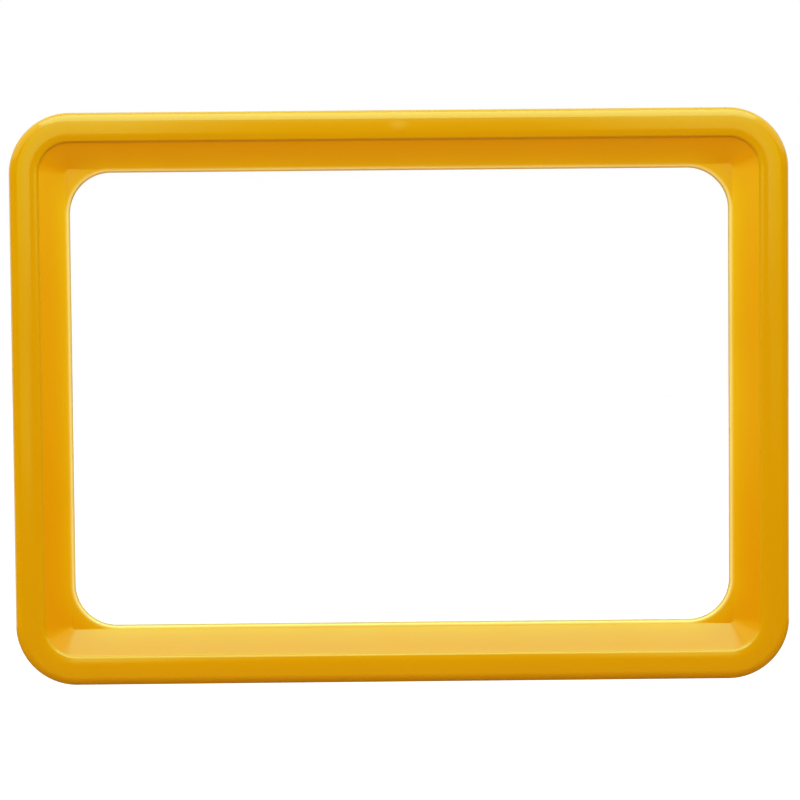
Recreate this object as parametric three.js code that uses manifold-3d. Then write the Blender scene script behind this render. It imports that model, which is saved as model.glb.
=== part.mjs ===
// A landscape A4 sign frame: two half shells from one mould, a clear pocket for the sheet and blanking plugs.
// Millimetres. X runs along the width, Z up, and the front faces -Y. The origin is the centre of the opening.
import * as THREE from "three";
import { LoftGeometry } from "three/addons/geometries/LoftGeometry.js";
import { mergeVertices } from "three/addons/utils/BufferGeometryUtils.js";
import Module from "manifold-3d";

const wasm = await Module();
wasm.setup();

// The printed sheet, and how far the lips cover each of its edges
const SHEET_WIDTH = 297;
const SHEET_HEIGHT = 210;
const SHEET_OVERLAP = 8;

// The border as seen from the front
const BORDER_WIDTH = 25;
const OUTER_CORNER_RADIUS = 26;
const OPENING_CORNER_RADIUS = 18;
const BEAD_WIDTH = 12.9;
const LIP_WIDTH = 1.4;

// The border in section, as depths from the plane where the two shells meet
const HALF_DEPTH = 6;
const STEP_DROP = 1.3;
const LIP_DEPTH = 2.1;
const WALL = 1.4;
const RIM_RADIUS = 4.1;
const STEP_EDGE_RADIUS = 4.4;
const LIP_EDGE_RADIUS = 0.8;
const PARTING_CHAMFER = 0.25;

// The clear pocket, folded from one film, and the channel that it slides in
const FILM_THICKNESS = 0.3;
const SHEET_ROOM = 0.4;
const POCKET_SPARE = 0.6;
const POCKET_FOLD_SPARE = 1;
const POCKET_CLEARANCE = 0.3;
const SLOT_FLARE = 0.7;

// Walls inside the hollow bead
const STOP_WALL = 1.2;
const RIB_THICKNESS = 1;
const RIB_PITCH = 30;
const RIB_RELIEF = 0.4;

// Pins and sleeves that line the two shells up
const PIN_RADIUS = 1.5;
const PIN_LENGTH = 2.6;
const PIN_CLEARANCE = 0.15;
const BOSS_RADIUS = 3;
const BOSS_INSET = 8;
const BOSS_SPACING = 105;
const SIDE_BOSS_HEIGHT = 45;
const CORNER_BOSS_ANGLE = THREE.MathUtils.degToRad(54);

// Accessory sockets in the rim and the plugs that close them
const WINDOW_LENGTH = 18;
const WINDOW_DEPTH = 4.2;
const RECESS = 1.6;
const SOCKET_LEDGE = 0.5;
const SOCKET_WALL = 1.2;
const SOCKET_SPACING = 165;
const PLUG_CLEARANCE = 0.3;
const PLUG_HEAD = 1.3;
const PLUG_LEG_LENGTH = 8;
const PLUG_LEG_THICKNESS = 1.3;
const LEG_TAPER = 2;
const PLUG_EDGE = 0.2;
const NAIL_NOTCH = 1.5;

// Fineness of the rounded forms
const CORNER_STEPS = 9;
const RIM_STEPS = 4;
const EDGE_STEPS = 3;
const ROUND_SIDES = 16;

// Sizes that follow from the ones above
const OPENING_WIDTH = SHEET_WIDTH - 2 * SHEET_OVERLAP;
const OPENING_HEIGHT = SHEET_HEIGHT - 2 * SHEET_OVERLAP;
const HALF_WIDTH = OPENING_WIDTH / 2 + BORDER_WIDTH;
const HALF_HEIGHT = OPENING_HEIGHT / 2 + BORDER_WIDTH;
const CREASE_DEPTH = HALF_DEPTH - STEP_DROP;
const FOOT_INSET = BORDER_WIDTH - LIP_WIDTH;
const BAND_SLOPE = (CREASE_DEPTH - LIP_DEPTH) / (FOOT_INSET - BEAD_WIDTH);
const BAND_ANGLE = Math.atan(BAND_SLOPE);

// The bead falls to the crease on an arc that ends on the crease
const STEP_EDGE_DEPTH = HALF_DEPTH - STEP_EDGE_RADIUS;
const STEP_EDGE_END = Math.asin((CREASE_DEPTH - STEP_EDGE_DEPTH) / STEP_EDGE_RADIUS);
const STEP_EDGE_INSET = BEAD_WIDTH - STEP_EDGE_RADIUS * Math.cos(STEP_EDGE_END);

const POCKET_HALF_THICKNESS = FILM_THICKNESS + SHEET_ROOM / 2;
const POCKET_HALF_HEIGHT = SHEET_HEIGHT / 2 + POCKET_SPARE;
const POCKET_LEFT = -SHEET_WIDTH / 2 - POCKET_FOLD_SPARE;
const POCKET_RIGHT = SHEET_WIDTH / 2 + POCKET_SPARE;
const CHANNEL_DEPTH = POCKET_HALF_THICKNESS + POCKET_CLEARANCE;
const CHANNEL_HALF_HEIGHT = POCKET_HALF_HEIGHT + POCKET_CLEARANCE;
const CHANNEL_LEFT = POCKET_LEFT - POCKET_CLEARANCE;

const SOCKET_DEPTH = HALF_HEIGHT - CHANNEL_HALF_HEIGHT - STOP_WALL;
const QUARTER = Math.PI / 2;
const WELL_PAST = 20;

// Booleans on three.js geometry
function solid(geometry) {
  const bare = new THREE.BufferGeometry().copy(geometry);
  bare.deleteAttribute("normal");
  bare.deleteAttribute("uv");
  const merged = mergeVertices(bare, 1e-4);
  return new wasm.Manifold(
    new wasm.Mesh({
      numProp: 3,
      vertProperties: merged.getAttribute("position").array,
      triVerts: new Uint32Array(merged.index.array),
    }),
  );
}

function geometryOf(body) {
  const mesh = body.getMesh();
  const geometry = new THREE.BufferGeometry();
  geometry.setAttribute("position", new THREE.BufferAttribute(mesh.vertProperties, 3));
  geometry.setIndex(new THREE.BufferAttribute(mesh.triVerts, 1));
  const faceted = geometry.toNonIndexed();
  faceted.computeVertexNormals();
  return faceted;
}

const joined = (bodies) => bodies.reduce((whole, body) => whole.add(body));

// Points of an arc from one angle to another
function arc(centreX, centreY, radius, from, to, steps) {
  return Array.from({ length: steps + 1 }, (_, i) => {
    const angle = from + ((to - from) * i) / steps;
    return new THREE.Vector2(centreX + radius * Math.cos(angle), centreY + radius * Math.sin(angle));
  });
}

const at = (x, y) => new THREE.Vector2(x, y);

// A closed ring whose section runs round a rectangle with round corners. A section point's x is its inset
// from the rectangle's edge and its y is its depth, and the points run clockwise.
function ringAlong(halfWidth, halfHeight, cornerRadius, section) {
  const stations = [];
  for (const [corner, [sideX, sideY]] of [[1, -1], [-1, -1], [-1, 1], [1, 1]].entries()) {
    const centreX = sideX * (halfWidth - cornerRadius);
    const centreY = sideY * (halfHeight - cornerRadius);
    for (let step = 0; step <= CORNER_STEPS; step++) {
      const angle = -(corner + step / CORNER_STEPS) * QUARTER;
      const towardsX = Math.cos(angle);
      const towardsY = Math.sin(angle);
      stations.push(
        section.map(({ x: inset, y: depth }) => {
          const reach = cornerRadius - inset;
          return new THREE.Vector3(centreX + reach * towardsX, centreY + reach * towardsY, depth);
        }),
      );
    }
  }
  stations.push(stations[0]);
  return solid(new LoftGeometry(stations));
}

function roundedRectangle(halfWidth, halfHeight, radius) {
  const shape = new THREE.Shape();
  const x = halfWidth - radius;
  const y = halfHeight - radius;
  shape.absarc(x, y, radius, 0, QUARTER);
  shape.absarc(-x, y, radius, QUARTER, 2 * QUARTER);
  shape.absarc(-x, -y, radius, 2 * QUARTER, 3 * QUARTER);
  shape.absarc(x, -y, radius, 3 * QUARTER, 4 * QUARTER);
  return shape;
}

function block(fromX, toX, fromY, toY, fromDepth, toDepth) {
  const box = new THREE.BoxGeometry(toX - fromX, toY - fromY, toDepth - fromDepth);
  box.translate((fromX + toX) / 2, (fromY + toY) / 2, (fromDepth + toDepth) / 2);
  return solid(box);
}

function round(x, y, radius, fromDepth, toDepth) {
  const cylinder = new THREE.CylinderGeometry(radius, radius, toDepth - fromDepth, ROUND_SIDES);
  cylinder.rotateX(QUARTER);
  cylinder.translate(x, y, (fromDepth + toDepth) / 2);
  return solid(cylinder);
}

// The outside of the border in section, from the parting plane over the bead and down the band to the lip
function outerSection() {
  return [
    at(PARTING_CHAMFER, 0),
    at(0, PARTING_CHAMFER),
    ...arc(RIM_RADIUS, HALF_DEPTH - RIM_RADIUS, RIM_RADIUS, 2 * QUARTER, QUARTER, RIM_STEPS),
    ...arc(STEP_EDGE_INSET, STEP_EDGE_DEPTH, STEP_EDGE_RADIUS, QUARTER, STEP_EDGE_END, EDGE_STEPS),
    at(FOOT_INSET, LIP_DEPTH),
  ];
}

// A line inside the border that keeps one distance from its outside, from the lip back to the parting plane
function lineWithin(distance) {
  const band = at(
    BEAD_WIDTH - distance * Math.sin(BAND_ANGLE),
    CREASE_DEPTH - distance * Math.cos(BAND_ANGLE),
  );
  const bandDepthAt = (inset) => band.y - (inset - band.x) * BAND_SLOPE;
  const lowest = Math.min(bandDepthAt(FOOT_INSET), CHANNEL_DEPTH);
  const meets = FOOT_INSET - (CHANNEL_DEPTH - lowest) / BAND_SLOPE;
  return [
    at(FOOT_INSET, CHANNEL_DEPTH),
    at(meets, bandDepthAt(meets)),
    band,
    ...arc(STEP_EDGE_INSET, STEP_EDGE_DEPTH, STEP_EDGE_RADIUS - distance, STEP_EDGE_END, QUARTER, EDGE_STEPS),
    ...arc(RIM_RADIUS, HALF_DEPTH - RIM_RADIUS, RIM_RADIUS - distance, QUARTER, 2 * QUARTER, RIM_STEPS),
    at(distance, 0),
  ];
}

function borderSkin() {
  return ringAlong(HALF_WIDTH, HALF_HEIGHT, OUTER_CORNER_RADIUS, [...outerSection(), ...lineWithin(WALL)]);
}

// Everything under the middle of the skin: the walls and ribs inside the bead are cut to it
function underSkin() {
  const section = [...lineWithin(WALL / 2).reverse(), at(FOOT_INSET, 0)];
  return ringAlong(HALF_WIDTH, HALF_HEIGHT, OUTER_CORNER_RADIUS, section);
}

// The flat lip, with the round corners of the opening and the gussets that fill the band's square corners
function lip() {
  const footRadius = OUTER_CORNER_RADIUS - FOOT_INSET;
  const hidden = WALL / 2;
  const toCorner = (OPENING_CORNER_RADIUS + LIP_WIDTH + hidden) * Math.SQRT2 - OPENING_CORNER_RADIUS;
  const section = [
    at(0, CHANNEL_DEPTH),
    at(-toCorner, CHANNEL_DEPTH),
    at(-toCorner, LIP_DEPTH),
    ...arc(-LIP_EDGE_RADIUS, LIP_DEPTH - LIP_EDGE_RADIUS, LIP_EDGE_RADIUS, QUARTER, 0, EDGE_STEPS),
  ];
  const ring = ringAlong(OPENING_WIDTH / 2, OPENING_HEIGHT / 2, OPENING_CORNER_RADIUS, section);
  const foot = roundedRectangle(
    OPENING_WIDTH / 2 + LIP_WIDTH + hidden,
    OPENING_HEIGHT / 2 + LIP_WIDTH + hidden,
    footRadius + hidden,
  );
  const plate = new THREE.ExtrudeGeometry(foot, { depth: HALF_DEPTH, bevelEnabled: false, curveSegments: 3 });
  return ring.intersect(solid(plate));
}

// The wall that stops and guides the pocket on three sides, open towards the slot
function stopWall() {
  const outside = CHANNEL_HALF_HEIGHT + STOP_WALL;
  const right = HALF_WIDTH + WELL_PAST;
  const whole = block(CHANNEL_LEFT - STOP_WALL, right, -outside, outside, 0, HALF_DEPTH);
  return whole.subtract(
    block(CHANNEL_LEFT, right + 1, -CHANNEL_HALF_HEIGHT, CHANNEL_HALF_HEIGHT, -1, HALF_DEPTH + 1),
  );
}

// Where a rib would run into a socket, it is left out
function ribPlaces(straight, sockets) {
  const clear = WINDOW_LENGTH / 2 + SOCKET_WALL + RIB_THICKNESS;
  const count = Math.floor(straight / 2 / RIB_PITCH);
  const places = Array.from({ length: 2 * count + 1 }, (_, i) => (i - count) * RIB_PITCH);
  return places.filter((place) => sockets.every((socket) => Math.abs(place - socket) > clear));
}

// Cross ribs under the band and the bead, and one on the diagonal of each corner
function ribs() {
  const half = RIB_THICKNESS / 2;
  const inner = BORDER_WIDTH - LIP_WIDTH;
  const straightX = 2 * (HALF_WIDTH - OUTER_CORNER_RADIUS);
  const straightY = 2 * (HALF_HEIGHT - OUTER_CORNER_RADIUS);
  const made = [];
  for (const side of [-1, 1]) {
    for (const x of ribPlaces(straightX, [-SOCKET_SPACING / 2, SOCKET_SPACING / 2])) {
      const edges = [side * HALF_HEIGHT, side * (HALF_HEIGHT - inner)].sort((a, b) => a - b);
      made.push(block(x - half, x + half, ...edges, RIB_RELIEF, HALF_DEPTH));
    }
    for (const y of ribPlaces(straightY, side < 0 ? [0] : [])) {
      const edges = [side * HALF_WIDTH, side * (HALF_WIDTH - inner)].sort((a, b) => a - b);
      made.push(block(...edges, y - half, y + half, RIB_RELIEF, HALF_DEPTH));
    }
    for (const end of [-1, 1]) {
      const rib = new THREE.BoxGeometry(OUTER_CORNER_RADIUS, RIB_THICKNESS, HALF_DEPTH - RIB_RELIEF);
      rib.translate(OUTER_CORNER_RADIUS / 2, 0, (HALF_DEPTH + RIB_RELIEF) / 2);
      rib.rotateZ(Math.atan2(end, side));
      rib.translate(side * (HALF_WIDTH - OUTER_CORNER_RADIUS), end * (HALF_HEIGHT - OUTER_CORNER_RADIUS), 0);
      made.push(solid(rib));
    }
  }
  return made;
}

// The accessory sockets, as the middle of each window and the direction out of the rim
const SOCKETS = {
  plug_top_left: { x: -SOCKET_SPACING / 2, y: HALF_HEIGHT, out: QUARTER },
  plug_top_right: { x: SOCKET_SPACING / 2, y: HALF_HEIGHT, out: QUARTER },
  plug_bottom_left: { x: -SOCKET_SPACING / 2, y: -HALF_HEIGHT, out: -QUARTER },
  plug_bottom_right: { x: SOCKET_SPACING / 2, y: -HALF_HEIGHT, out: -QUARTER },
  plug_side: { x: -HALF_WIDTH, y: 0, out: 2 * QUARTER },
};

// A block by a socket, reaching from one inset to another and as long and as deep as given
function blockAt({ x, y, out }, fromInset, toInset, length, fromDepth, toDepth) {
  const box = new THREE.BoxGeometry(toInset - fromInset, length, toDepth - fromDepth);
  box.translate(-(fromInset + toInset) / 2, 0, (fromDepth + toDepth) / 2);
  box.rotateZ(out);
  box.translate(x, y, 0);
  return solid(box);
}

const SOCKET_LENGTH = WINDOW_LENGTH - 2 * SOCKET_LEDGE;
const SOCKET_HALF = WINDOW_DEPTH / 2 - SOCKET_LEDGE;

function socketBlock(socket) {
  const length = WINDOW_LENGTH + 2 * SOCKET_WALL;
  return blockAt(socket, WALL / 2, SOCKET_DEPTH, length, 0, WINDOW_DEPTH / 2 + SOCKET_WALL);
}

function socketHollow(socket) {
  const window = blockAt(socket, -1, RECESS, WINDOW_LENGTH, -1, WINDOW_DEPTH / 2);
  const duct = blockAt(socket, 0, SOCKET_DEPTH - STOP_WALL / 2, SOCKET_LENGTH, -1, SOCKET_HALF);
  return window.add(duct);
}

// Boss places on the upper half: these carry pins, and their mirror places on the lower half carry sleeves
function bossPlaces() {
  const straightInset = (WALL + SOCKET_DEPTH) / 2;
  const reach = OUTER_CORNER_RADIUS - BOSS_INSET;
  const cornerX = HALF_WIDTH - OUTER_CORNER_RADIUS + reach * Math.cos(CORNER_BOSS_ANGLE);
  const cornerY = HALF_HEIGHT - OUTER_CORNER_RADIUS + reach * Math.sin(CORNER_BOSS_ANGLE);
  return [
    at(-cornerX, cornerY),
    at(cornerX, cornerY),
    at(-HALF_WIDTH + straightInset, SIDE_BOSS_HEIGHT),
    at(-BOSS_SPACING / 2, HALF_HEIGHT - straightInset),
    at(BOSS_SPACING / 2, HALF_HEIGHT - straightInset),
  ];
}

function pin({ x, y }) {
  const profile = [
    at(0, -PIN_LENGTH),
    at(PIN_RADIUS - PARTING_CHAMFER, -PIN_LENGTH),
    at(PIN_RADIUS, -PIN_LENGTH + PARTING_CHAMFER),
    at(PIN_RADIUS, WALL),
    at(0, WALL),
  ];
  const turned = new THREE.LatheGeometry(profile, ROUND_SIDES);
  turned.rotateX(QUARTER);
  turned.translate(x, y, 0);
  return solid(turned);
}

// The slot is the channel carried out through the bead, with a lead-in at the rim
function slotFlare() {
  const mouth = new THREE.Shape([
    at(HALF_WIDTH - SLOT_FLARE, -1),
    at(HALF_WIDTH - SLOT_FLARE, CHANNEL_DEPTH),
    at(HALF_WIDTH + 1, CHANNEL_DEPTH + SLOT_FLARE + 1),
    at(HALF_WIDTH + 1, -1),
  ]);
  const length = 2 * CHANNEL_HALF_HEIGHT;
  const wedge = new THREE.ExtrudeGeometry(mouth, { depth: length, bevelEnabled: false });
  wedge.rotateX(QUARTER);
  wedge.translate(0, CHANNEL_HALF_HEIGHT, 0);
  return solid(wedge);
}

// One half shell, lying with its parting plane at depth 0 and its face towards +Z
function halfShell() {
  const sockets = Object.values(SOCKETS);
  const bosses = bossPlaces();
  const sleeves = bosses.map(({ x, y }) => at(x, -y));
  const inside = [
    stopWall(),
    ...ribs(),
    ...sockets.map(socketBlock),
    ...[...bosses, ...sleeves].map(({ x, y }) => round(x, y, BOSS_RADIUS, 0, HALF_DEPTH)),
  ];
  const right = HALF_WIDTH + WELL_PAST;
  const cuts = [
    block(CHANNEL_LEFT, right, -CHANNEL_HALF_HEIGHT, CHANNEL_HALF_HEIGHT, -1, CHANNEL_DEPTH),
    slotFlare(),
    ...sockets.map(socketHollow),
    ...sleeves.map(({ x, y }) => {
      return round(x, y, PIN_RADIUS + PIN_CLEARANCE, -1, PIN_LENGTH + PARTING_CHAMFER);
    }),
  ];
  const shell = borderSkin().add(lip()).add(joined(inside).intersect(underSkin()));
  return geometryOf(joined([shell.subtract(joined(cuts)), ...bosses.map(pin)]));
}

// One film folded at the closed end, with room for the sheet between its leaves
function pocket() {
  const outer = POCKET_HALF_THICKNESS;
  const inner = outer - FILM_THICKNESS;
  const foldX = POCKET_LEFT + outer;
  const section = new THREE.Shape([
    at(POCKET_RIGHT, -outer),
    at(POCKET_RIGHT, -inner),
    ...arc(foldX, 0, inner, 3 * QUARTER, QUARTER, 2 * EDGE_STEPS),
    at(POCKET_RIGHT, inner),
    at(POCKET_RIGHT, outer),
    ...arc(foldX, 0, outer, QUARTER, 3 * QUARTER, 2 * EDGE_STEPS),
  ]);
  const film = new THREE.ExtrudeGeometry(section, { depth: 2 * POCKET_HALF_HEIGHT, bevelEnabled: false });
  film.translate(0, 0, -POCKET_HALF_HEIGHT);
  return film;
}

// A flat outline in X and Z made a block of the given thickness along Y, with its edges chamfered
function chamferedPlate(points, thickness) {
  const plate = new THREE.ExtrudeGeometry(new THREE.Shape(points), {
    depth: thickness - 2 * PLUG_EDGE,
    bevelEnabled: true,
    bevelThickness: PLUG_EDGE,
    bevelSize: PLUG_EDGE,
    bevelOffset: -PLUG_EDGE,
    bevelSegments: 1,
  });
  plate.translate(0, 0, PLUG_EDGE - thickness / 2);
  plate.rotateX(QUARTER);
  return solid(plate);
}

// A flush head with a notch for a fingernail and two tapered legs, pointing out of the rim along +Z
function plug() {
  const half = WINDOW_LENGTH / 2 - PLUG_CLEARANCE;
  const notchFloor = -PLUG_HEAD / 2;
  const head = [
    at(-half, -PLUG_HEAD),
    at(half, -PLUG_HEAD),
    at(half, notchFloor),
    at(half - NAIL_NOTCH, notchFloor),
    at(half - NAIL_NOTCH, 0),
    at(-half, 0),
  ];
  const legOutside = SOCKET_LENGTH / 2 - PLUG_CLEARANCE;
  const legInside = legOutside - PLUG_LEG_THICKNESS;
  const root = -PLUG_HEAD / 2;
  const tip = -PLUG_HEAD - PLUG_LEG_LENGTH;
  const legs = [-1, 1].map((side) => {
    const outline = [
      at(side * legInside, root),
      at(side * legInside, tip),
      at(side * (legInside + PLUG_LEG_THICKNESS / 2), tip),
      at(side * legOutside, tip + LEG_TAPER),
      at(side * legOutside, root),
    ];
    return chamferedPlate(outline, 2 * (SOCKET_HALF - PLUG_CLEARANCE));
  });
  const headPlate = chamferedPlate(head, WINDOW_DEPTH - 2 * PLUG_CLEARANCE);
  return geometryOf(joined([headPlate, ...legs]));
}

// Finishes
const yellow = new THREE.MeshStandardMaterial({ color: 0xe0a005, roughness: 0.22, metalness: 0 });
const clearFilm = new THREE.MeshStandardMaterial({
  color: 0xf3f7f8,
  roughness: 0.08,
  metalness: 0,
  transparent: true,
  opacity: 0.25,
});

function named(name, geometry, material) {
  const mesh = new THREE.Mesh(geometry, material.clone());
  mesh.name = name;
  return mesh;
}

const frame = new THREE.Group();
const shellGeometry = halfShell();

const frontShell = named("front_shell", shellGeometry, yellow);
frontShell.rotation.x = QUARTER;
frame.add(frontShell);

const rearShell = named("rear_shell", shellGeometry, yellow);
rearShell.rotation.x = -QUARTER;
frame.add(rearShell);

frame.add(named("clear_pocket", pocket(), clearFilm));

const plugGeometry = plug();
for (const [name, { x, y, out }] of Object.entries(SOCKETS)) {
  const closing = named(name, plugGeometry, yellow);
  closing.position.set(x, 0, y);
  closing.rotation.y = QUARTER - out;
  frame.add(closing);
}

export default frame;
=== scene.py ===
# A landscape A4 sign frame of glossy golden-yellow plastic, with a clear pocket for the sheet and
# blanking plugs in its rim.
import math

import bmesh
import bpy
from mathutils import Matrix, Vector


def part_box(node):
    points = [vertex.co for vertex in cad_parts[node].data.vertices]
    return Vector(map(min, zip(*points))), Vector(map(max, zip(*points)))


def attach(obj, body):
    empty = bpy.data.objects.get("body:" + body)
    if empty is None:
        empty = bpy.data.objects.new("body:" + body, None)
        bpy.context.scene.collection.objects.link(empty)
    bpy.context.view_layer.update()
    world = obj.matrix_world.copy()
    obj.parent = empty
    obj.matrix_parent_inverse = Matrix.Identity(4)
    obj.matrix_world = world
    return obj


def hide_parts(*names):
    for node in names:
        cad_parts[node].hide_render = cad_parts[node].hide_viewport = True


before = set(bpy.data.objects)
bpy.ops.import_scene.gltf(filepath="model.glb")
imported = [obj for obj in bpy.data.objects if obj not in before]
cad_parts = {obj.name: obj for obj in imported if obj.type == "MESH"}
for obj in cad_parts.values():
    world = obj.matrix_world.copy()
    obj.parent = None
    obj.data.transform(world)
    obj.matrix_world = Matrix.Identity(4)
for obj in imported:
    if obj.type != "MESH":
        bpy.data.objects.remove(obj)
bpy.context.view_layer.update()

# Front shell
# The face of the frame: one injection moulding in glossy golden-yellow styrene. Its rounded bead is
# hollow behind, and a small step and a sloping band lead in to a narrow lip with a leaning wall. It
# is pinned and welded to the rear shell along the parting plane.
mm = 0.001
shell_low, shell_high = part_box("front_shell")
half_width = shell_high.x
half_height = shell_high.z
half_depth = -shell_low.y

# The section of the border: widths, depths before the parting plane, and slopes
border_width = 25 * mm
outer_corner_radius = 26 * mm
opening_corner_radius = 18 * mm
bead_width = 12.9 * mm
lip_width = 1.4 * mm
step_drop = 1.3 * mm
riser_width = 0.6 * mm
crown_inset = 10.3 * mm
crown_angle = math.radians(12)
dome_inset = 5.6 * mm
dome_angle = math.radians(4)
lip_depth = 2.1 * mm
lip_angle = math.radians(11)
lip_draft = 0.4 * mm
channel_depth = 0.8 * mm
wall = 1.4 * mm
band_wall = 0.7 * wall
foot_land = 0.25 * mm

# How its corners are rounded, and into how many steps an arc is cut
rim_radius = 4.1 * mm
dome_radius = 51 * mm
crown_radius = 14 * mm
shoulder_radius = 1.0 * mm
crease_radius = 0.45 * mm
foot_radius = 1.2 * mm
lip_radius = 0.8 * mm
lip_back_radius = 0.15 * mm
parting_radius = 0.3 * mm
lip_strip = 1.1 * lip_radius
corner_steps = 32
least_arc_steps = 3
arc_step_degrees = 6
merge_distance = 1e-6

# The sockets in the rim, and the slot for the pocket
socket_spacing = 165 * mm
socket_depth = 14.3 * mm
socket_wall = 1.2 * mm
socket_ledge = 0.5 * mm
window_length = 18 * mm
window_thickness = 4.2 * mm
recess = 1.6 * mm
window_flare = 0.25 * mm
slot_half_height = 105.9 * mm
slot_flare = 0.7 * mm

# What follows from these
crease_depth = half_depth - step_drop
shoulder_inset = bead_width - riser_width
shoulder_depth = half_depth - (shoulder_inset - crown_inset) * math.tan(crown_angle)
rim_depth = half_depth - dome_inset * math.tan(dome_angle)
foot_inset = border_width - lip_width
web_inset = foot_inset + foot_land
lip_start = border_width - lip_strip
opening_half_width = half_width - border_width
opening_half_height = half_height - border_width


def round_off(bm, vertex, radius):
    """Turns a corner of a wire into an arc."""
    first, second = (edge.other_vert(vertex).co - vertex.co for edge in vertex.link_edges)
    turn = math.pi - first.angle(second)
    steps = max(least_arc_steps, math.ceil(math.degrees(turn) / arc_step_degrees))
    bmesh.ops.bevel(
        bm, geom=[vertex], offset=radius * math.tan(turn / 2), offset_type="OFFSET",
        segments=steps, profile=0.5, affect="VERTICES", material=-1,
    )


def new_end(geometry):
    """The new vertices of an extrusion, and the edges that join them."""
    vertices = [part for part in geometry if isinstance(part, bmesh.types.BMVert)]
    known = set(vertices)
    edges = [
        part for part in geometry
        if isinstance(part, bmesh.types.BMEdge) and known.issuperset(part.verts)
    ]
    return vertices, edges


def draw_out(bm, edges, move):
    """Extrudes edges along a straight line, and gives the far end of what they leave."""
    vertices, edges = new_end(bmesh.ops.extrude_edge_only(bm, edges=edges)["geom"])
    bmesh.ops.translate(bm, verts=vertices, vec=move)
    return vertices, edges


def add_quarter(bm, section, corner_x, corner_z):
    """Runs a section from the middle of the top side, round a corner, to the middle of the right
    side. A point of it has its inset from the outline, its depth before the parting plane and its
    radius."""
    known = set(bm.edges)
    vertices = [bm.verts.new((0, -depth, half_height - inset)) for inset, depth, radius in section]
    for start, end in zip(vertices, vertices[1:]):
        bm.edges.new((start, end))
    for vertex, (inset, depth, radius) in zip(vertices, section):
        if radius:
            round_off(bm, vertex, radius)
    wire = [edge for edge in bm.edges if edge not in known]
    vertices, edges = draw_out(bm, wire, (corner_x, 0, 0))
    turned = bmesh.ops.spin(
        bm, geom=vertices + edges, cent=(corner_x, 0, corner_z), axis=(0, 1, 0),
        angle=math.pi / 2, steps=corner_steps, use_duplicate=False,
    )
    vertices, edges = new_end(turned["geom_last"])
    draw_out(bm, edges, (0, 0, -corner_z))


def lip_height(inset):
    """The depth of the lip's face, which falls slightly from its foot to its edge."""
    return lip_depth - (inset - foot_inset) * math.tan(lip_angle)


def moulding():
    """A half shell without its sockets. The border and the edge of the lip have corners of their
    own, and flat webs join the two, in front and at the back."""
    bm = bmesh.new()
    border = [
        (web_inset, lip_height(web_inset), 0),
        (foot_inset, lip_depth, foot_radius),
        (bead_width, crease_depth, crease_radius),
        (shoulder_inset, shoulder_depth, shoulder_radius),
        (crown_inset, half_depth, crown_radius),
        (dome_inset, half_depth, dome_radius),
        (0, rim_depth, rim_radius),
        (0, 0, parting_radius),
        (wall, 0, 0),
        (wall, half_depth - wall, rim_radius - wall),
        (shoulder_inset - wall, half_depth - wall, 0),
        (shoulder_inset - wall, crease_depth - band_wall, 0),
        (foot_inset - wall / 2, channel_depth, 0),
        (web_inset, channel_depth, 0),
    ]
    add_quarter(bm, border, half_width - outer_corner_radius, half_height - outer_corner_radius)
    lip = [
        (lip_start, lip_height(lip_start), 0),
        (border_width, lip_height(border_width), lip_radius),
        (border_width + lip_draft, channel_depth, lip_back_radius),
        (lip_start, channel_depth, 0),
    ]
    corner_x = opening_half_width - opening_corner_radius
    corner_z = opening_half_height - opening_corner_radius
    add_quarter(bm, lip, corner_x, corner_z)
    for axis in "XZ":
        quarter = bm.verts[:] + bm.edges[:] + bm.faces[:]
        bmesh.ops.mirror(bm, geom=quarter, axis=axis, merge_dist=merge_distance)
    bmesh.ops.remove_doubles(bm, verts=bm.verts, dist=merge_distance)
    middle = (lip_depth + channel_depth) / 2
    for front in (True, False):
        rims = [
            edge for edge in bm.edges
            if edge.is_boundary and all((-end.co.y > middle) == front for end in edge.verts)
        ]
        bmesh.ops.bridge_loops(bm, edges=rims)
    bmesh.ops.recalc_face_normals(bm, faces=bm.faces)
    return bm


# Places on the rim: local Z points out of it, and local X runs along it
top, right, bottom, left = (Matrix.Rotation(turn * math.pi / 2, 4, "Y") for turn in range(4))
socket_places = {
    "top_left": Matrix.Translation((-socket_spacing / 2, 0, half_height)) @ top,
    "top_right": Matrix.Translation((socket_spacing / 2, 0, half_height)) @ top,
    "bottom_left": Matrix.Translation((-socket_spacing / 2, 0, -half_height)) @ bottom,
    "bottom_right": Matrix.Translation((socket_spacing / 2, 0, -half_height)) @ bottom,
    "side": Matrix.Translation((-half_width, 0, 0)) @ left,
}
slot_place = Matrix.Translation((half_width, 0, 0)) @ right


def add_block(bm, low, high, place):
    """A box between two corners, in a place's own axes."""
    low, high = Vector(low), Vector(high)
    box = place @ Matrix.Translation((low + high) / 2) @ Matrix.Diagonal(high - low).to_4x4()
    return bmesh.ops.create_cube(bm, size=1, matrix=box)["verts"]


def add_mouth(bm, length, thickness, depth, flare, place):
    """An oblong cut into the rim that opens out at 45 degrees over its last stretch."""
    along, across = length / 2, thickness / 2
    vertices = add_block(bm, (-along, -across, -depth), (along, across, -flare), Matrix())
    faces = {face for vertex in vertices for face in vertex.link_faces}
    inner = max(faces, key=lambda face: face.calc_center_median().z)
    outer, _ = new_end(bmesh.ops.extrude_face_region(bm, geom=[inner])["geom"])
    bmesh.ops.delete(bm, geom=[inner], context="FACES_ONLY")
    bmesh.ops.translate(bm, verts=outer, vec=(0, 0, 2 * flare))
    bmesh.ops.scale(bm, verts=outer, vec=(1 + 2 * flare / along, 1 + 2 * flare / across, 1))
    bmesh.ops.transform(bm, matrix=place, verts=vertices + outer)


def socket_walls():
    """The walls of the sockets, as solid blocks that the windows and ducts are cut out of."""
    bm = bmesh.new()
    reach = window_length / 2 + socket_wall
    for place in socket_places.values():
        low = (-reach, -window_thickness / 2 - socket_wall, -socket_depth - socket_wall)
        add_block(bm, low, (reach, 0, -wall / 2), place)
    return bm


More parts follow.
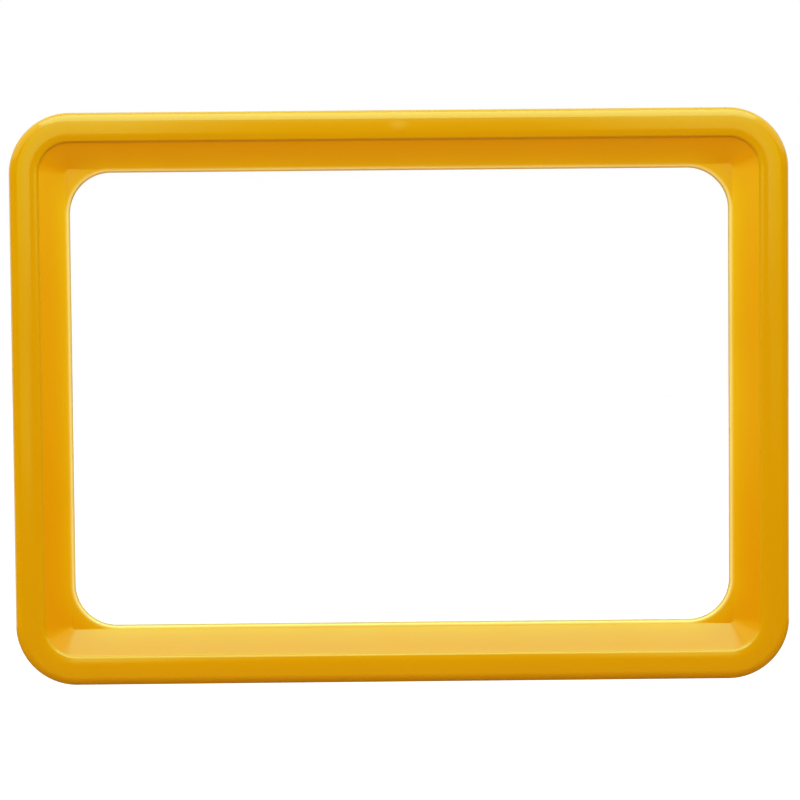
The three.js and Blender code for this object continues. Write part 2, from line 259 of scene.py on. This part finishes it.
def rim_cuts():
    """The windows of the sockets, where the heads of the plugs sit, and the slot for the pocket."""
    bm = bmesh.new()
    for place in socket_places.values():
        add_mouth(bm, window_length, window_thickness, recess, window_flare, place)
    add_mouth(bm, 2 * slot_half_height, 2 * channel_depth, border_width, slot_flare, slot_place)
    bmesh.ops.recalc_face_normals(bm, faces=bm.faces)
    return bm


def socket_ducts():
    """The narrower ducts behind the windows."""
    bm = bmesh.new()
    along = window_length / 2 - socket_ledge
    across = window_thickness / 2 - socket_ledge
    for place in socket_places.values():
        add_block(bm, (-along, -across, -socket_depth), (along, across, 0), place)
    return bm


def put_in_order(bm):
    """Sorts edges and faces by their vertices. An extrusion leaves them in another order on each
    run, and a boolean cuts a little differently when the order changes."""
    bm.verts.index_update()
    count = len(bm.verts)

    def rank(part):
        number = 0
        for index in sorted(vertex.index for vertex in part.verts)[:3]:
            number = number * count + index
        return number

    bm.edges.sort(key=rank)
    bm.faces.sort(key=rank)


def as_object(name, bm):
    put_in_order(bm)
    mesh = bpy.data.meshes.new(name)
    bm.to_mesh(mesh)
    bm.free()
    piece = bpy.data.objects.new(name, mesh)
    bpy.context.scene.collection.objects.link(piece)
    return piece


def combine(piece, operation, bm):
    """Joins a second solid to a piece, or cuts it away."""
    tool = as_object("tool", bm)
    boolean = piece.modifiers.new("combine", "BOOLEAN")
    boolean.operation = operation
    boolean.solver = "EXACT"
    boolean.object = tool
    done = piece.evaluated_get(bpy.context.evaluated_depsgraph_get())
    mesh = bpy.data.meshes.new_from_object(done)
    piece.modifiers.clear()
    piece.data = mesh
    bpy.data.objects.remove(tool)


sharp_angle = math.radians(35)


def smooth_off(piece):
    """Smooth shading that keeps flats flat, and leaves an edge sharp past the sharp angle."""
    piece.data.shade_smooth()
    piece.data.set_sharp_from_angle(angle=sharp_angle)
    normals = piece.modifiers.new("flat_faces", "WEIGHTED_NORMAL")
    normals.keep_sharp = True


class Value:
    """A shader socket that takes part in Python sums."""

    def __init__(self, nodes, socket):
        self.nodes, self.socket = nodes, socket

    def maths(self, operation, first, second=0):
        return self.nodes.node("ShaderNodeMath", {"operation": operation}, {0: first, 1: second})

    def __add__(self, other):
        return self.maths("ADD", self, other)

    def __sub__(self, other):
        return self.maths("SUBTRACT", self, other)

    def __rsub__(self, other):
        return self.maths("SUBTRACT", other, self)

    def __mul__(self, other):
        return self.maths("MULTIPLY", self, other)

    def __truediv__(self, other):
        return self.maths("DIVIDE", self, other)

    def __pow__(self, other):
        return self.maths("POWER", self, other)

    def __abs__(self):
        return self.maths("ABSOLUTE", self)

    __radd__ = __add__
    __rmul__ = __mul__

    def at_least(self, other):
        return self.maths("MAXIMUM", self, other)

    def at_most(self, other):
        return self.maths("MINIMUM", self, other)

    def share(self):
        """Kept between 0 and 1."""
        return self.at_least(0).at_most(1)


class Nodes:
    """A tree of shader nodes."""

    def __init__(self, owner):
        owner.use_nodes = True
        self.tree = owner.node_tree

    def node(self, kind, settings=None, inputs=None, output=0):
        made = self.tree.nodes.new(kind)
        for name, setting in (settings or {}).items():
            setattr(made, name, setting)
        for name, value in (inputs or {}).items():
            if isinstance(value, Value):
                self.tree.links.new(value.socket, made.inputs[name])
            else:
                made.inputs[name].default_value = value
        return Value(self, made.outputs[output])

    def axes(self):
        place = self.node("ShaderNodeTexCoord", output="Object")
        return [self.node("ShaderNodeSeparateXYZ", {}, {0: place}, output=axis) for axis in "XYZ"]

    def noise(self, size, detail=2.0):
        """Soft noise whose lumps are about as wide as the size, in metres."""
        place = self.node("ShaderNodeTexCoord", output="Object")
        inputs = {"Vector": place, "Scale": 1 / size, "Detail": detail}
        return self.node("ShaderNodeTexNoise", {}, inputs)

    def mix(self, share, first, second):
        """A colour between two colours."""
        colour_a, colour_b, colour_result = 6, 7, 2  # their names are not unique in this node
        inputs = {"Factor": share, colour_a: first, colour_b: second}
        return self.node("ShaderNodeMix", {"data_type": "RGBA"}, inputs, output=colour_result)


class Finish(Nodes):
    """A material that is built round one Principled shader."""

    def __init__(self, name, **constants):
        self.material = bpy.data.materials.new(name)
        super().__init__(self.material)
        self.surface = self.tree.nodes["Principled BSDF"]
        for socket, value in constants.items():
            self.surface.inputs[socket.replace("_", " ")].default_value = value

    def feed(self, socket, value):
        self.tree.links.new(value.socket, self.surface.inputs[socket])

    def bumps(self, *layers):
        """Feeds the normal from pairs of a height and the distance that a height of 1 stands
        for."""
        normal = None
        for height, distance in layers:
            inputs = {"Height": height, "Distance": distance}
            if normal:
                inputs["Normal"] = normal
            normal = self.node("ShaderNodeBump", {}, inputs)
        self.feed("Normal", normal)


def outside_of(finish, half_x, half_z, radius):
    """How far a point lies outside a rectangle with round corners, or less than 0 within its
    border."""
    x, _, z = finish.axes()
    across = (abs(x) - (half_x - radius)).at_least(0)
    up = (abs(z) - (half_z - radius)).at_least(0)
    return (across * across + up * up) ** 0.5 - radius


golden = (0.665, 0.315, 0.0002, 1)
golden_deep = (0.590, 0.260, 0.0002, 1)
# Painted light: a redder colour for the band, standing in for light that comes through its thinner
# wall
band_painted_light = (0.715, 0.292, 0.0002, 1)
# Painted light: a paler colour that rises towards the lip, a painted glow of the light let in there
painted_glow_colour = (0.760, 0.420, 0.002, 1)
# Painted highlight: a pale colour and a faint emission on the lip's edge, standing in for light that
# comes through it and shines off its rounding
painted_lip_edge_light = (0.80, 0.55, 0.12, 1)
painted_lip_glow = (0.12, 0.10, 0.045, 1)
dark = (0, 0, 0, 1)
gate_blush = (0.76, 0.430, 0.030, 1)
highlight_tint = (0.42, 1, 0.5, 1)
painted_glow_falloff = 2.5
# How far from the lip's edge the painted highlight reaches, how it falls off and how strong it is
painted_edge_reach = 1.5 * lip_width
painted_edge_falloff = 3
painted_edge_strength = 2.2
wall_fade = 0.5 * lip_draft
# Painted shade: how much of the painted lip highlight is taken off again on the lip's leaning wall
wall_painted_shade = 0.7
gate_reach_x = 6 * mm
gate_reach_z = 3 * mm
gate_strength = 0.5
flow_width = 45 * mm
flow_start = 0.35
flow_strength = 0.4
gloss_patch_width = 12 * mm
least_roughness = 0.10
roughness_spread = 0.06
fine_ripple_width = 2.5 * mm
fine_ripple_depth = 0.006 * mm
broad_ripple_width = 35 * mm
broad_ripple_depth = 0.05 * mm


def yellow_plastic(name, gate_side=1):
    """Golden-yellow styrene. The band is painted a redder colour, painted light that stands in for
    light coming through its thinner wall, and paler towards the lip as a painted glow. The lip's
    edge is palest and glows faintly, a painted highlight, and its wall is darker again, painted
    shade. The gate left a faint blush in the middle of one side, the melt has slightly deeper parts,
    and the gloss ripples."""
    finish = Finish(name, IOR=1.55, Specular_Tint=highlight_tint, Emission_Strength=1)
    inset = 0 - outside_of(finish, half_width, half_height, outer_corner_radius)
    away = outside_of(finish, opening_half_width, opening_half_height, opening_corner_radius)
    # Painted light on the band, stronger towards the lip
    on_band = ((inset - bead_width) / crease_radius).share()
    glow = (1 - away / (border_width - bead_width)).at_least(0) ** painted_glow_falloff
    on_wall = (away / -wall_fade).share()
    # Painted highlight and glow on the lip's edge, taken down again on its wall as painted shade
    edge = ((1 - away / painted_edge_reach).at_least(0) ** painted_edge_falloff * painted_edge_strength).share()
    edge = edge * (1 - on_wall * wall_painted_shade)
    finish.feed("Emission Color", finish.mix(edge, dark, painted_lip_glow))
    colour = finish.mix(on_band, golden, band_painted_light)
    colour = finish.mix(glow, colour, painted_glow_colour)
    colour = finish.mix(edge, colour, painted_lip_edge_light)
    x, _, z = finish.axes()
    gate_x = x / gate_reach_x
    gate_z = (z - gate_side * (half_height - bead_width / 2)) / gate_reach_z
    gate = (1 - (gate_x * gate_x + gate_z * gate_z)).at_least(0) ** 2
    colour = finish.mix(gate * gate_strength, colour, gate_blush)
    flow = (finish.noise(flow_width, detail=3) - flow_start).share()
    finish.feed("Base Color", finish.mix(flow * flow_strength, colour, golden_deep))
    gloss = finish.noise(gloss_patch_width)
    finish.feed("Roughness", gloss * roughness_spread + least_roughness)
    finish.bumps(
        (finish.noise(fine_ripple_width), fine_ripple_depth),
        (finish.noise(broad_ripple_width), broad_ripple_depth),
    )
    return finish.material


front_shell = as_object("front_shell_moulding", moulding())
combine(front_shell, "UNION", socket_walls())
combine(front_shell, "DIFFERENCE", rim_cuts())
combine(front_shell, "DIFFERENCE", socket_ducts())
smooth_off(front_shell)
front_shell.data.materials.clear()
front_shell.data.materials.append(yellow_plastic("yellow_plastic_front"))
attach(front_shell, "frame")
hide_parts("front_shell")

# Rear shell
# A second moulding from the same tool and plastic, turned over about the level axis, so the pins of
# one half meet the sleeves of the other. It closes the hollow bead from behind and is welded to the
# front shell.
rear_shell = bpy.data.objects.new("rear_shell_moulding", front_shell.data.copy())
bpy.context.scene.collection.objects.link(rear_shell)
rear_shell.data.transform(Matrix.Rotation(math.pi, 4, "X"))
smooth_off(rear_shell)
rear_shell.data.materials[0] = yellow_plastic("yellow_plastic_rear", gate_side=-1)
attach(rear_shell, "frame")
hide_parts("rear_shell")

# Clear pocket
# A protector of clear film, folded once at the closed end, with room for the printed sheet between
# its leaves. It slides in through the slot in the right side and lies loose between the two lips.
pocket_low, pocket_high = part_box("clear_pocket")
film = 0.3 * mm
fold_steps = 16
film_colour = (0.98, 0.99, 1, 1)
# Painted grey along the film's fold and cut edges, standing in for how light catches them
painted_film_edge_grey = (0.16, 0.22, 0.25, 1)
edge_fade = 3 * mm
sheen_blend = 0.25
sheen_alpha = 0.35
edge_alpha = 0.6
haze_alpha = 0.01
least_alpha = 0.004
haze_width = 60 * mm
haze_roughness = 0.08
film_roughness = 0.03
wave_width = 40 * mm
wave_depth = 0.12 * mm


def folded_film():
    """The middle of the film in section is drawn as a wire and raised to its height, to be made
    thick.
    """
    bm = bmesh.new()
    leaf = pocket_high.y - film / 2
    fold_x = pocket_low.x + pocket_high.y
    start = bm.verts.new((pocket_high.x, -leaf, pocket_low.z))
    bend = bm.verts.new((fold_x, -leaf, pocket_low.z))
    bm.edges.new((start, bend))
    turned = bmesh.ops.spin(
        bm, geom=[bend], cent=(fold_x, 0, 0), axis=(0, 0, -1),
        angle=math.pi, steps=fold_steps, use_duplicate=False,
    )
    last = next(part for part in turned["geom_last"] if isinstance(part, bmesh.types.BMVert))
    bm.edges.new((last, bm.verts.new((pocket_high.x, leaf, pocket_low.z))))
    draw_out(bm, bm.edges[:], (0, 0, pocket_high.z - pocket_low.z))
    bmesh.ops.recalc_face_normals(bm, faces=bm.faces)
    return bm


def clear_film(name):
    """Clear film that shows by a painted sheen, which turns it whiter and less clear at glancing
    angles in place of its reflection, by a slight haze and faint ripples, and by painted grey along
    its fold and its cut edges, which stands in for how light catches them."""
    finish = Finish(name, IOR=1.5)
    x, _, z = finish.axes()
    from_ends = abs(x - (pocket_low.x + pocket_high.x) / 2) - (pocket_high.x - pocket_low.x) / 2
    from_cuts = abs(z) - pocket_high.z
    edge = (1 + from_ends.at_least(from_cuts) / edge_fade).share() ** 2
    finish.feed("Base Color", finish.mix(edge, film_colour, painted_film_edge_grey))
    # Painted sheen: the film turns more opaque and white at glancing angles, in place of its
    # reflection
    sheen = finish.node("ShaderNodeLayerWeight", {}, {"Blend": sheen_blend}, output="Facing")
    haze = finish.noise(haze_width, detail=3)
    alpha = sheen ** 2 * sheen_alpha + edge * edge_alpha + haze * haze_alpha + least_alpha
    finish.feed("Alpha", alpha)
    finish.feed("Roughness", haze * haze_roughness + film_roughness)
    finish.bumps((finish.noise(wave_width), wave_depth))
    return finish.material


pocket = as_object("clear_film_pocket", folded_film())
thickness = pocket.modifiers.new("film", "SOLIDIFY")
thickness.thickness = film
thickness.offset = 0
smooth_off(pocket)
pocket.data.materials.append(clear_film("clear_film"))
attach(pocket, "pocket")
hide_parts("clear_pocket")

# Blanking plugs
# Five small mouldings in the same yellow that close the sockets until a hanger, coupler or foot goes
# in. Each is a flush head with a ramp for a fingernail and two springy tapered legs, and is pressed
# into its socket by hand.
plug_gap = 0.3 * mm
head_thickness = 1.3 * mm
nail_ramp = 1.5 * mm
leg_length = 8 * mm
leg_thickness = 1.3 * mm
leg_taper = 2 * mm
plug_edge_radius = 0.25 * mm
plug_edge_steps = 3
plug_edge_angle = math.radians(15)

head_along = window_length / 2 - plug_gap
head_across = window_thickness / 2 - plug_gap
leg_outside = head_along - socket_ledge
leg_across = head_across - socket_ledge
leg_tip = -head_thickness - leg_length


def cut_across(bm, place, direction):
    """A new loop of edges where a plane passes."""
    geometry = bm.verts[:] + bm.edges[:] + bm.faces[:]
    bmesh.ops.bisect_plane(bm, geom=geometry, plane_co=place, plane_no=direction)


def soften(bm):
    """Rounds the edges at which the faces turn."""
    corners = [edge for edge in bm.edges if edge.calc_face_angle() > plug_edge_angle]
    bmesh.ops.bevel(
        bm, geom=corners, offset=plug_edge_radius, offset_type="OFFSET", segments=plug_edge_steps,
        profile=0.5, affect="EDGES", material=-1,
    )


def plug_head():
    """A flat head whose face falls away in a ramp at one end."""
    bm = bmesh.new()
    low = (-head_along, -head_across, -head_thickness)
    add_block(bm, low, (head_along, head_across, 0), Matrix())
    ramp_start = head_along - nail_ramp
    cut_across(bm, (ramp_start, 0, 0), (1, 0, 0))
    ramp_end = [
        vertex for vertex in bm.verts
        if vertex.co.x > ramp_start + nail_ramp / 2 and vertex.co.z > -head_thickness / 2
    ]
    bmesh.ops.translate(bm, verts=ramp_end, vec=(0, 0, -head_thickness / 2))
    soften(bm)
    return bm


def plug_legs():
    """Two legs that start inside the head, with their outsides tapered towards the tips."""
    bm = bmesh.new()
    for side in (-1, 1):
        near, far = sorted((side * leg_outside, side * (leg_outside - leg_thickness)))
        low, high = (near, -leg_across, leg_tip), (far, leg_across, -head_thickness / 2)
        add_block(bm, low, high, Matrix())
    cut_across(bm, (0, 0, leg_tip + leg_taper), (0, 0, 1))
    middle = leg_outside - leg_thickness / 2
    tips = [
        vertex for vertex in bm.verts
        if vertex.co.z < leg_tip + leg_taper / 2 and abs(vertex.co.x) > middle
    ]
    bmesh.ops.scale(bm, verts=tips, vec=(middle / leg_outside, 1, 1))
    soften(bm)
    return bm


plug_finish = yellow_plastic("yellow_plastic_plugs")
for name, place in socket_places.items():
    plug = as_object(f"blanking_plug_{name}", plug_head())
    combine(plug, "UNION", plug_legs())
    plug.data.transform(place)
    smooth_off(plug)
    plug.data.materials.clear()
    plug.data.materials.append(plug_finish)
    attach(plug, f"{name}_plug")
    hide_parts(f"plug_{name}")

# Studio
# A pale floor and white surroundings, one broad soft lamp overhead and before the frame, and weaker
# ones below, at the sides and behind. In front, the gloss alone sees a dark drape and a board with
# pale patches, which leave the colour deep between the soft highlights.
floor_drop = 0.6
floor_reach = 12
floor_colour = (0.35, 0.35, 0.35, 1)
shadow_reach = 2
shadow_depth = 0.22
lamp_size = (1.4, 3.3)
lamp_place = (0, -1.6, 0.9)
lamp_power = 52
lamp_colour = (0.60, 1.03, 1.08)
# Name, place, size, power and colour
small_lamps = [
    ("warm_low_lamp", (0, -2, -0.42), (1.2, 0.2), 12, (1, 0.1, 0.03)),
    ("left_lamp", (-2, 0, 0.1), (0.8, 0.8), 18, (0.8, 1, 0.9)),
    ("right_lamp", (2, 0, 0.1), (0.8, 0.8), 11, (0.8, 1, 0.9)),
    ("back_lamp", (0, 2, 0), (1, 1), 42, (0.9, 1, 0.95)),
]
fill = 0.32
fill_colour = (1.34, 0.74, 0.6, 1)
drape_radius = 3.4
drape_top = 1.0
drape_sweep = math.radians(220)
drape_steps = 48
drape_disc_steps = 64
drape_lift = 0.01
drape_colour = (0.022, 0.02, 0.003, 1)
drape_roughness = 0.9
board_distance = 3
board_reach = 1.3
board_top = 0.84
patch_fade = 0.13
pale = (1, 1, 0.5)
warm = (1, 1, 0.12)
# Left, right, low and high edge, the height over which it brightens from its low edge, its
# brightness and its colour
pale_patches = [
    (-0.80, -0.26, 0.00, 1.2, 0.13, 2.1, pale),
    (-1.15, -0.67, 0.00, 1.2, 0.13, 2.1, warm),
    (0.30, 0.80, 0.01, 1.2, 0.13, 1.8, pale),
    (0.67, 1.15, 0.01, 1.2, 0.13, 1.8, warm),
    (-0.80, -0.48, -0.34, 0.02, 0.13, 1.5, pale),
    (-1.15, -0.67, -0.34, 0.02, 0.13, 1.5, warm),
    (0.52, 0.80, -0.26, 0.02, 0.13, 1.0, pale),
    (0.67, 1.15, -0.26, 0.02, 0.13, 1.0, warm),
    (-1.3, 1.3, 0.45, 1.2, 0.39, 2.0, pale),
]
white = (1, 1, 1, 1)


def seen_as_white(nodes):
    """1 for what the camera sees straight, in a mirror or through something clear."""
    camera, mirror, clear = (
        nodes.node("ShaderNodeLightPath", output=ray)
        for ray in ("Is Camera Ray", "Is Glossy Ray", "Is Transmission Ray")
    )
    return camera.at_least(mirror).at_least(clear)


def white_surroundings():
    world = bpy.data.worlds.new("studio")
    nodes = Nodes(world)
    dim = nodes.node("ShaderNodeBackground", {}, {"Color": fill_colour, "Strength": fill})
    bright = nodes.node("ShaderNodeBackground", {}, {"Color": white})
    both = nodes.node("ShaderNodeMixShader", {}, {0: seen_as_white(nodes), 1: dim, 2: bright})
    nodes.tree.links.new(both.socket, nodes.tree.nodes["World Output"].inputs["Surface"])
    bpy.context.scene.world = world


def pale_floor():
    """Cloth that the camera sees as white, less what the shadow takes from it near the frame."""
    finish = Finish(
        "pale_floor", Base_Color=floor_colour, Roughness=1, Specular_IOR_Level=0,
        Emission_Strength=1,
    )
    x, y, _ = finish.axes()
    far = ((x * x + y * y) ** 0.5 / shadow_reach).share()
    level = seen_as_white(finish) * (far * shadow_depth + (1 - shadow_depth))
    finish.feed("Emission Color", finish.mix(level, dark, white))
    return finish.material


def flat_grid(place):
    """A flat square, two across before its place is applied."""
    bm = bmesh.new()
    bmesh.ops.create_grid(bm, x_segments=1, y_segments=1, size=1, matrix=place)
    return bm


def drape_mesh():
    """A disc over the floor and a curved wall that rises from it in front."""
    bm = bmesh.new()
    low = -floor_drop + drape_lift
    bmesh.ops.create_circle(
        bm, cap_ends=True, segments=drape_disc_steps, radius=drape_radius,
        matrix=Matrix.Translation((0, 0, low)),
    )
    start = Matrix.Rotation(-drape_sweep / 2, 3, "Z")
    ends = [bm.verts.new(start @ Vector((0, -drape_radius, z))) for z in (low, drape_top)]
    bmesh.ops.spin(
        bm, geom=ends + [bm.edges.new(ends)], cent=(0, 0, 0), axis=(0, 0, 1),
        angle=drape_sweep, steps=drape_steps, use_duplicate=False,
    )
    return bm


def for_gloss_only(piece):
    """Stages a piece that shows in reflections alone."""
    piece.visible_camera = False
    piece.visible_diffuse = False
    piece.visible_transmission = False
    piece.visible_shadow = False


def patched_board():
    """An upright dark board before the frame, with soft-edged pale patches, that ends below the
    softbox."""
    board_low = -floor_drop
    middle = Matrix.Translation((0, -board_distance, (board_low + board_top) / 2))
    upright = Matrix.Rotation(math.pi / 2, 4, "X")
    half_size = Matrix.Diagonal((board_reach, (board_top - board_low) / 2, 1, 1))
    board = as_object("patched_board", flat_grid(middle @ upright @ half_size))
    finish = Finish("patched_board", Base_Color=dark, Specular_IOR_Level=0, Emission_Strength=1)
    x, _, z = finish.axes()
    paint = (0, 0, 0)
    for near_x, far_x, near_z, far_z, rise, brightness, colour in pale_patches:
        across = ((x - near_x) / patch_fade).share() * ((far_x - x) / patch_fade).share()
        up = ((z - near_z) / rise).share() * ((far_z - z) / patch_fade).share()
        inputs = {0: colour, "Scale": across * up * brightness}
        patch = finish.node("ShaderNodeVectorMath", {"operation": "SCALE"}, inputs)
        paint = finish.node("ShaderNodeVectorMath", {"operation": "ADD"}, {0: paint, 1: patch})
    finish.feed("Emission Color", paint)
    board.data.materials.append(finish.material)
    for_gloss_only(board)


white_surroundings()
floor_place = Matrix.Translation((0, 0, -floor_drop)) @ Matrix.Scale(floor_reach, 4)
floor = as_object("floor", flat_grid(floor_place))
floor.data.materials.append(pale_floor())
drape = as_object("dark_drape", drape_mesh())
dark_cloth = Finish("dark_cloth", Base_Color=drape_colour, Roughness=drape_roughness)
drape.data.materials.append(dark_cloth.material)
for_gloss_only(drape)
patched_board()


def soft_lamp(name, place, towards, size, power, colour):
    """A flat lamp that faces a direction."""
    light = bpy.data.lights.new(name, "AREA")
    light.shape = "RECTANGLE"
    light.size, light.size_y = size
    light.energy = power
    light.color = colour
    lamp = bpy.data.objects.new(name, light)
    turn = Vector(towards).to_track_quat("-Z", "Y").to_matrix().to_4x4()
    lamp.matrix_world = Matrix.Translation(place) @ turn
    bpy.context.scene.collection.objects.link(lamp)
    return lamp


soft_lamp("overhead_softbox", lamp_place, (0, 0, -1), lamp_size, lamp_power, lamp_colour)
for name, place, size, power, colour in small_lamps:
    lamp = soft_lamp(name, place, -Vector(place), size, power, colour)
    lamp.visible_camera = False
    lamp.visible_glossy = False

# Camera
# A long lens that stands just above the middle of the frame and a little to its left, and is rolled
# by half a degree, as in the photograph.
camera_distance = 1.1
camera_azimuth = math.radians(-0.389)
camera_elevation = math.radians(2.862)
camera_roll = math.radians(-0.525)
aim = Vector((-0.00042, 0, -0.00126))
sensor_width = 36
focal_length = 115.88
lens = bpy.data.cameras.new("camera")
lens.sensor_width = sensor_width
lens.lens = focal_length
camera = bpy.data.objects.new("camera", lens)
camera.matrix_world = (
    Matrix.Translation(aim)
    @ Matrix.Rotation(camera_azimuth, 4, "Z")
    @ Matrix.Rotation(math.pi / 2 - camera_elevation, 4, "X")
    @ Matrix.Rotation(camera_roll, 4, "Z")
    @ Matrix.Translation((0, 0, camera_distance))
)
bpy.context.scene.collection.objects.link(camera)
bpy.context.scene.camera = camera
bpy.context.scene.view_settings.view_transform = "Standard"
